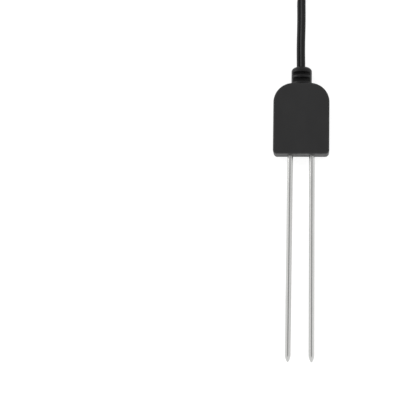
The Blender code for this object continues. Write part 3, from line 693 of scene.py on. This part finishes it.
def collar_ring(height, radius, trim, in_slot):
    """A ring of the collar: cut flat, front and back, where it crosses a slot."""
    corner = math.asin(SLOT_FLOOR / COLLAR_RADIUS)
    angles = [2 * math.pi * i / COLLAR_SIDES for i in range(COLLAR_SIDES)]
    angles += [corner, math.pi - corner, math.pi + corner, 2 * math.pi - corner]
    ring = []
    for angle in sorted(angles):
        lift = abs(COLLAR_RADIUS * math.sin(angle)) - SLOT_FLOOR
        share = min(max(lift / RIM_BLEND, 0.0), 1.0)
        r = radius - trim * share
        x, z = r * math.cos(angle), r * math.sin(angle)
        if in_slot and lift > 0:
            z = math.copysign(SLOT_FLOOR, z)
        ring.append((x, z, height))
    return ring


def make_collar(material):
    """The moulded strain relief: flange and neck inside the wall, slotted collar outside."""
    top = head_place()[1].y
    rings = [collar_ring(*station) for station in collar_stations()]
    count = len(rings[0])
    flange_radius, flange_at = FLANGE
    inner = above(flange_at) - top
    hidden = ((flange_radius, inner), (flange_radius, -WALL), (NECK_RADIUS, -WALL), (NECK_RADIUS, 0.0))
    rings = [circle(radius, height, count) for radius, height in hidden] + rings
    at = (0.0, top, axis_height())
    collar = mesh_object("lead_collar", skin(rings), along_y(at))
    return finish_piece(collar, material, "flexible_pvc", "strain_relief")


# Lead ---------------------------------------------------------------------------------------------


def curve(points):
    """Fine points on the centripetal Catmull-Rom curve through the given ones."""
    knots = [Vector(p) for p in points]
    knots = [2 * knots[0] - knots[1], *knots, 2 * knots[-1] - knots[-2]]
    fine = []
    for a, b, c, d in zip(knots, knots[1:], knots[2:], knots[3:]):
        t1 = (b - a).length ** 0.5
        t2 = t1 + (c - b).length ** 0.5
        t3 = t2 + (d - c).length ** 0.5
        for i in range(CURVE_CUTS):
            t = t1 + (t2 - t1) * i / CURVE_CUTS
            ab = a * (t1 - t) / t1 + b * t / t1
            bc = b * (t2 - t) / (t2 - t1) + c * (t - t1) / (t2 - t1)
            cd = c * (t3 - t) / (t3 - t2) + d * (t - t2) / (t3 - t2)
            abc = ab * (t2 - t) / t2 + bc * t / t2
            bcd = bc * (t3 - t) / (t3 - t1) + cd * (t - t1) / (t3 - t1)
            fine.append(abc * (t2 - t) / (t2 - t1) + bcd * (t - t1) / (t2 - t1))
    fine.append(knots[-2])
    return fine


def spaced(fine, step):
    """Points about a step apart along a fine line."""
    lengths = [0.0]
    for a, b in zip(fine, fine[1:]):
        lengths.append(lengths[-1] + (b - a).length)
    count = max(2, round(lengths[-1] / step))
    out, at = [], 0
    for i in range(count + 1):
        target = lengths[-1] * i / count
        while at < len(fine) - 2 and lengths[at + 1] < target:
            at += 1
        share = (target - lengths[at]) / (lengths[at + 1] - lengths[at])
        out.append(fine[at].lerp(fine[at + 1], share))
    return out


def ease(value, start, end):
    """0 before the start, 1 after the end and a smooth step between."""
    share = min(max((value - start) / (end - start), 0.0), 1.0)
    return share * share * (3 - 2 * share)


def track_sizes():
    """Radius of the hollow waist arcs and the lean at which they meet the end loops."""
    waist = (HALF_RUN**2 / (FOLD_RADIUS - WAIST_HALF_GAP) - FOLD_RADIUS - WAIST_HALF_GAP) / 2
    return waist, math.atan2(HALF_RUN, WAIST_HALF_GAP + waist)


def track_lengths():
    """Half waist, far loop, waist, near loop and half waist of one turn, on the inner track."""
    waist, lean = track_sizes()
    loop = FOLD_RADIUS * (math.pi + 2 * lean)
    return [waist * lean, loop, 2 * waist * lean, loop, waist * lean]


def track_point(turn, offset):
    """A point on the waisted track, moved out by an offset, after this many turns."""
    waist, lean = track_sizes()
    side = WAIST_HALF_GAP + waist
    lengths = track_lengths()
    left = (turn % 1.0) * sum(lengths)
    arcs = (
        ((side, 0.0), offset - waist, 0.0, -1),
        ((0.0, HALF_RUN), FOLD_RADIUS + offset, -lean, 1),
        ((-side, 0.0), waist - offset, lean, -1),
        ((0.0, -HALF_RUN), FOLD_RADIUS + offset, math.pi - lean, 1),
        ((side, 0.0), offset - waist, lean, -1),
    )
    radii = (waist, FOLD_RADIUS, waist, FOLD_RADIUS, waist)
    for (centre, radius, start, way), inner, length in zip(arcs, radii, lengths):
        if left <= length:
            angle = start + way * left / inner
            return centre[0] + radius * math.cos(angle), centre[1] + radius * math.sin(angle)
        left -= length
    return track_point(0.0, offset)


def hank_points():
    """The wound lead's middle line, from where it joins the near loop to where it leaves it."""
    _, lean = track_sizes()
    lengths = track_lengths()
    before_near = sum(lengths[:3])
    start = (before_near + FOLD_RADIUS * (HANK_START - math.pi + lean)) / sum(lengths)
    end = (before_near + FOLD_RADIUS * (math.pi + lean)) / sum(lengths)
    turns = len(TURN_CELLS) - 1 + end - start
    count = round(turns * POINTS_PER_TURN)
    points = []
    for i in range(count + 1):
        turn = turns * i / count
        number = min(int(turn), len(TURN_CELLS) - 1)
        here = TURN_CELLS[number]
        after = TURN_CELLS[min(number + 1, len(TURN_CELLS) - 1)]
        shift_from = 1 - (number + 1) * SHIFT_SHARE
        share = ease(turn - number, shift_from, shift_from + SHIFT_SHARE)
        track = here[0] + (after[0] - here[0]) * share
        layer = here[1] + (after[1] - here[1]) * share
        x, y = track_point(start + turn, track * TURN_PITCH)
        lift = WAIST_LIFT * (1 - ease(abs(y), *LIFT_REACH))
        points.append(HANK_CENTRE + Vector((x, y, LOW_LAYER + layer * LAYER_PITCH + lift)))
    return points


def lead_path():
    """The lead's middle line from inside the collar to inside the plug."""
    routes = (LEAD_ROUTE_MM, JOIN_IN_MM, JOIN_OUT_MM, TAIL_ROUTE_MM)
    out, join_in, join_out, tail = [[Vector(p) * MM for p in route] for route in routes]
    first = out[0] - (out[1] - out[0]).normalized() * BURIED
    last = tail[-1] + (tail[-1] - tail[-2]).normalized() * BURIED
    points = [first, *out, *join_in, *hank_points(), *join_out, *tail, last]
    return spaced(curve(points), RING_STEP)


def lead_section():
    """The figure-of-eight outline of two cores and the web between, in (width, thickness)."""
    cut = math.asin(WEB_HALF / CORE_RADIUS)
    outline = []
    for side, start in ((1, cut - math.pi), (-1, cut)):
        sweep = 2 * (math.pi - cut)
        for i in range(LOBE_STEPS):
            angle = start + sweep * i / (LOBE_STEPS - 1)
            width = side * (CORD_WIDTH / 2 - CORE_RADIUS) + CORE_RADIUS * math.cos(angle)
            outline.append((width, CORE_RADIUS * math.sin(angle)))
    return outline


def lead_rings(path):
    """The section swept along the path, and the distance of each ring from its start."""
    section = lead_section()
    rings, stations, travelled = [], [], 0.0
    for i, point in enumerate(path):
        ahead, behind = path[min(i + 1, len(path) - 1)], path[max(i - 1, 0)]
        if i:
            travelled += (point - path[i - 1]).length
        stations.append(travelled)
        along = (ahead - behind).normalized()
        sideways = along.cross(Vector((0, 0, 1))).normalized()
        up = sideways.cross(along)
        turn = SEEN_TWIST + (EDGE_TWIST - SEEN_TWIST) * ease(travelled, TWIST_FROM, TWIST_TO)
        wide = sideways * math.cos(turn) + up * math.sin(turn)
        thick = up * math.cos(turn) - sideways * math.sin(turn)
        rings.append([point + wide * w + thick * t for w, t in section])
    return rings, stations


def map_girth_and_length(bm, stations, count):
    """Gives a swept mesh a UV map: girth from 0 to 1 and length in metres, but for its caps."""
    bm.verts.index_update()
    layer = bm.loops.layers.uv.new("along")
    walls = [face for face in bm.faces if len(face.verts) < count]
    for face in walls:
        around = [loop.vert.index % count for loop in face.loops]
        wraps = max(around) - min(around) > 1
        for loop, k in zip(face.loops, around):
            u = (k + count if wraps and k == 0 else k) / count
            loop[layer].uv = (u, stations[loop.vert.index // count])


def make_lead(material):
    """The whole flat lead as one mesh swept along its middle line, and that line."""
    path = lead_path()
    rings, stations = lead_rings(path)
    bm = skin(rings)
    map_girth_and_length(bm, stations, len(rings[0]))
    lead = mesh_object("lead", bm, sharp_angle=LEAD_SHARP_ANGLE)
    finish_piece(lead, material, "flexible_pvc", "lead_cable", "lead_hank", "lead_tail")
    return lead, path


# Tie ----------------------------------------------------------------------------------------------


def tie_loop():
    """Points and outward directions round the hank's waist, in the XZ plane."""
    corners = ((1, TIE_HIGH, 0), (-1, TIE_HIGH, 90), (-1, TIE_LOW, 180), (1, TIE_LOW, 270))
    loop = []
    for side, level, start in corners:
        x = HANK_CENTRE.x + side * (TIE_HALF - TIE_CORNER)
        z = level - TIE_CORNER if level == TIE_HIGH else level + TIE_CORNER
        for px, pz in arc((x, z), TIE_CORNER, start, TIE_CORNER_STEPS):
            outward = Vector((px - x, 0.0, pz - z)).normalized()
            loop.append((Vector((px, HANK_CENTRE.y, pz)), outward))
    return loop


def twisted_end(phase):
    """Rings of one of the tie's two ends, which wind round each other above the hank."""
    base = Vector((HANK_CENTRE.x + TWIST_X, HANK_CENTRE.y, TIE_HIGH))
    rings = []
    for i in range(TWIST_STEPS + 1):
        share = i / TWIST_STEPS
        angle = phase + 2 * math.pi * TWIST_TURNS * share
        spread = TWIST_RADIUS * (1 + TWIST_FLARE * ease(share, FLARE_FROM, 1.0))
        offset = (spread * math.cos(angle), spread * math.sin(angle), TWIST_HEIGHT * share)
        middle = base + Vector(offset)
        rings.append([middle + Vector(point) for point in circle(TWIST_STRAND, 0.0, TWIST_SIDES)])
    return rings


def make_tie(material):
    """A coated wire tie: a ribbon with a wire ridge down its middle, its ends twisted together."""
    half = [(across * MM, lift * MM) for across, lift in TIE_OUTLINE_MM]
    section = [(-across, lift) for across, lift in half] + half[-2::-1]
    rings = []
    for point, outward in tie_loop():
        rings.append([point + Vector((0.0, y, 0.0)) + outward * lift for y, lift in section])
    bm = skin(rings, joined=True)
    for phase in (0.0, math.pi):
        strand = skin(twisted_end(phase))
        mesh = bpy.data.meshes.new("strand")
        strand.to_mesh(mesh)
        strand.free()
        bm.from_mesh(mesh)
        bpy.data.meshes.remove(mesh)
    tie = mesh_object("wire_tie", bm)
    return finish_piece(tie, material, "tie", "hank_tie")


# Plug ---------------------------------------------------------------------------------------------


def grooved(start, end, low, high, first, pitch, count, depth):
    """A straight or tapering outline with evenly spaced rounded grooves."""
    reach = pitch * GROOVE_REACH
    shares = [k / GROOVE_STEPS for k in range(-GROOVE_STEPS, GROOVE_STEPS + 1)]
    stations = {start, end}
    for i in range(count):
        stations |= {first + i * pitch + reach * share for share in shares}
    profile = []
    for station in sorted(stations):
        radius = low + (high - low) * (station - start) / (end - start)
        nearest = min(abs(station - first - i * pitch) for i in range(count))
        radius -= depth * (1 - ease(nearest, 0.0, reach))
        profile.append((radius, station))
    return profile


def grip_outline():
    """The plug's body: a rounded shoulder, a grooved grip and a rounded nose."""
    start, end = PLUG_BODY
    full, neck = PLUG_BODY_RADIUS, RELIEF_RADII[1]
    outline = []
    for angle in quarter(PLUG_ROUND_STEPS):
        radius = neck + (full - neck) * math.sin(angle)
        outline.append((radius, start + PLUG_SHOULDER * (1 - math.cos(angle))))
    first = (start + end - (GRIP_GROOVES - 1) * GRIP_PITCH) / 2
    ends = start + PLUG_SHOULDER + GRIP_MARGIN, end - PLUG_NOSE - GRIP_MARGIN
    outline += grooved(*ends, full, full, first, GRIP_PITCH, GRIP_GROOVES, GRIP_DEPTH)
    for angle in quarter(PLUG_ROUND_STEPS):
        radius = full - PLUG_NOSE * (1 - math.cos(angle))
        outline.append((radius, end - PLUG_NOSE * (1 - math.sin(angle))))
    return outline


def sleeve_outline():
    """The jack's sleeve: a flange and a plain pin, their edges softened."""
    start, end = SLEEVE
    radius, length = SLEEVE_FLANGE
    face = start + length
    return [
        (radius - SOFT_EDGE, start), (radius, start + SOFT_EDGE), (radius, face - SOFT_EDGE),
        (radius - SOFT_EDGE, face), (JACK_RADIUS, face),
        (JACK_RADIUS, end - SOFT_EDGE), (JACK_RADIUS - SOFT_EDGE / 2, end),
    ]


def plug_pieces():
    """(name, node, material slot, outline) of the plug's turned pieces."""
    pitch = RELIEF_LENGTH / (RELIEF_GROOVES + 1)
    relief = grooved(0.0, RELIEF_LENGTH, *RELIEF_RADII, pitch, pitch, RELIEF_GROOVES, GROOVE_DEPTH)
    ring = [(INSULATOR_RADIUS, station) for station in INSULATOR]
    tip = [(radius * MM, station * MM) for radius, station in TIP_PROFILE_MM]
    return (
        ("plug_boot", "plug_strain_relief", "flexible_pvc", relief),
        ("plug_grip", "plug_body", "plug_plastic", grip_outline()),
        ("plug_pin", "plug_sleeve", "plug_metal", sleeve_outline()),
        ("plug_ring", "plug_insulator", "plug_plastic", ring),
        ("plug_point", "plug_tip", "plug_metal", tip),
    )


def make_plug(materials):
    """The plug's five turned pieces, in the line of its axis."""
    made = []
    for name, node, slot, outline in plug_pieces():
        piece = mesh_object(name, turned(outline), along_y(PLUG_START, PLUG_TURN))
        made.append(finish_piece(piece, materials[slot], slot, node))
    return made


# Stage --------------------------------------------------------------------------------------------


def make_floor():
    """A plain white floor that glows a little, so that it stays white in shadow."""
    bm = bmesh.new()
    bmesh.ops.create_grid(bm, x_segments=1, y_segments=1, size=FLOOR_HALF)
    floor = mesh_object("floor", bm, Matrix.Translation((0.0, 0.0, -FLOOR_DROP)))
    finish = Finish("floor_white", roughness=0.9, specular=0.1)
    finish.colour(finish.shades(finish.noise(scale=3.0), *FLOOR_SHADES))
    finish.set(Emission_Color=WHITE, Emission_Strength=FLOOR_GLOW)
    floor.data.materials.append(finish.material)


def make_sky():
    """White surroundings, dimmer straight overhead."""
    world = bpy.data.worlds.new("studio")
    bpy.context.scene.world = world
    world.use_nodes = True
    tree = world.node_tree
    background = tree.nodes["Background"]
    where = tree.nodes.new("ShaderNodeTexCoord")
    split = tree.nodes.new("ShaderNodeSeparateXYZ")
    dim = tree.nodes.new("ShaderNodeMapRange")
    dim.interpolation_type = "SMOOTHSTEP"
    limits = {
        "From Min": SKY_TOP_FROM, "From Max": SKY_TOP_TO, "To Min": SKY_SIDE, "To Max": SKY_TOP,
    }
    for name, value in limits.items():
        dim.inputs[name].default_value = value
    tree.links.new(where.outputs["Generated"], split.inputs["Vector"])
    tree.links.new(split.outputs["Z"], dim.inputs["Value"])
    tree.links.new(dim.outputs["Result"], background.inputs["Strength"])
    background.inputs["Color"].default_value = WHITE


def make_key_light():
    """One soft light, low on the left and towards the lead's end."""
    light = bpy.data.lights.new("key", "AREA")
    light.shape = "DISK"
    light.size = KEY_SIZE
    light.energy = KEY_POWER
    lamp = bpy.data.objects.new("key", light)
    lamp.location = KEY_AT
    lamp.rotation_euler = (-Vector(KEY_AT)).to_track_quat("-Z", "Y").to_euler()
    bpy.context.scene.collection.objects.link(lamp)


def make_camera():
    """Looks down on the probe's front, from the rods' side, with the probe right of the middle."""
    data = bpy.data.cameras.new("camera")
    data.lens = CAMERA_LENS
    data.clip_start = CAMERA_CLIP
    camera = bpy.data.objects.new("camera", data)
    camera.rotation_mode = "ZXY"
    camera.location = CAMERA_AT
    camera.rotation_euler = CAMERA_TILT
    bpy.context.scene.collection.objects.link(camera)
    bpy.context.scene.camera = camera


def finish_cad_nodes(nodes, record, materials):
    """Gives every CAD node that stays its slot's material."""
    slots = {part["node"]: part["material_slot"] for part in record["subparts"]}
    for name, node in nodes.items():
        node.data.materials.clear()
        node.data.materials.append(materials[slots[name]])


# Build --------------------------------------------------------------------------------------------


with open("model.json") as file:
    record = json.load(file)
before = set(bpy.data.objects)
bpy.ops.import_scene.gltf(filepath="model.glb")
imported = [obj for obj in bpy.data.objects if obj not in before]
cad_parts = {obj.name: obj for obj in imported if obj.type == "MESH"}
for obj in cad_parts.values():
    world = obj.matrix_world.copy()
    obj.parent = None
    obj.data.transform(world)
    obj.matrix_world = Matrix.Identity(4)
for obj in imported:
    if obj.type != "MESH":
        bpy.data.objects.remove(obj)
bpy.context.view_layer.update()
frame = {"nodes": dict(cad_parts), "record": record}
materials = make_materials()
finish_cad_nodes(frame["nodes"], frame["record"], materials)
make_camera()
make_floor()
make_sky()
make_key_light()
bpy.context.scene.view_settings.view_transform = "Standard"
make_shell(materials["head_plastic"])
make_cover(materials["head_plastic"])
make_rods(materials["stainless_steel"])
make_collar(materials["flexible_pvc"])
lead, lead_line = make_lead(materials["lead"])
tie = make_tie(materials["tie"])
plug = make_plug(materials)
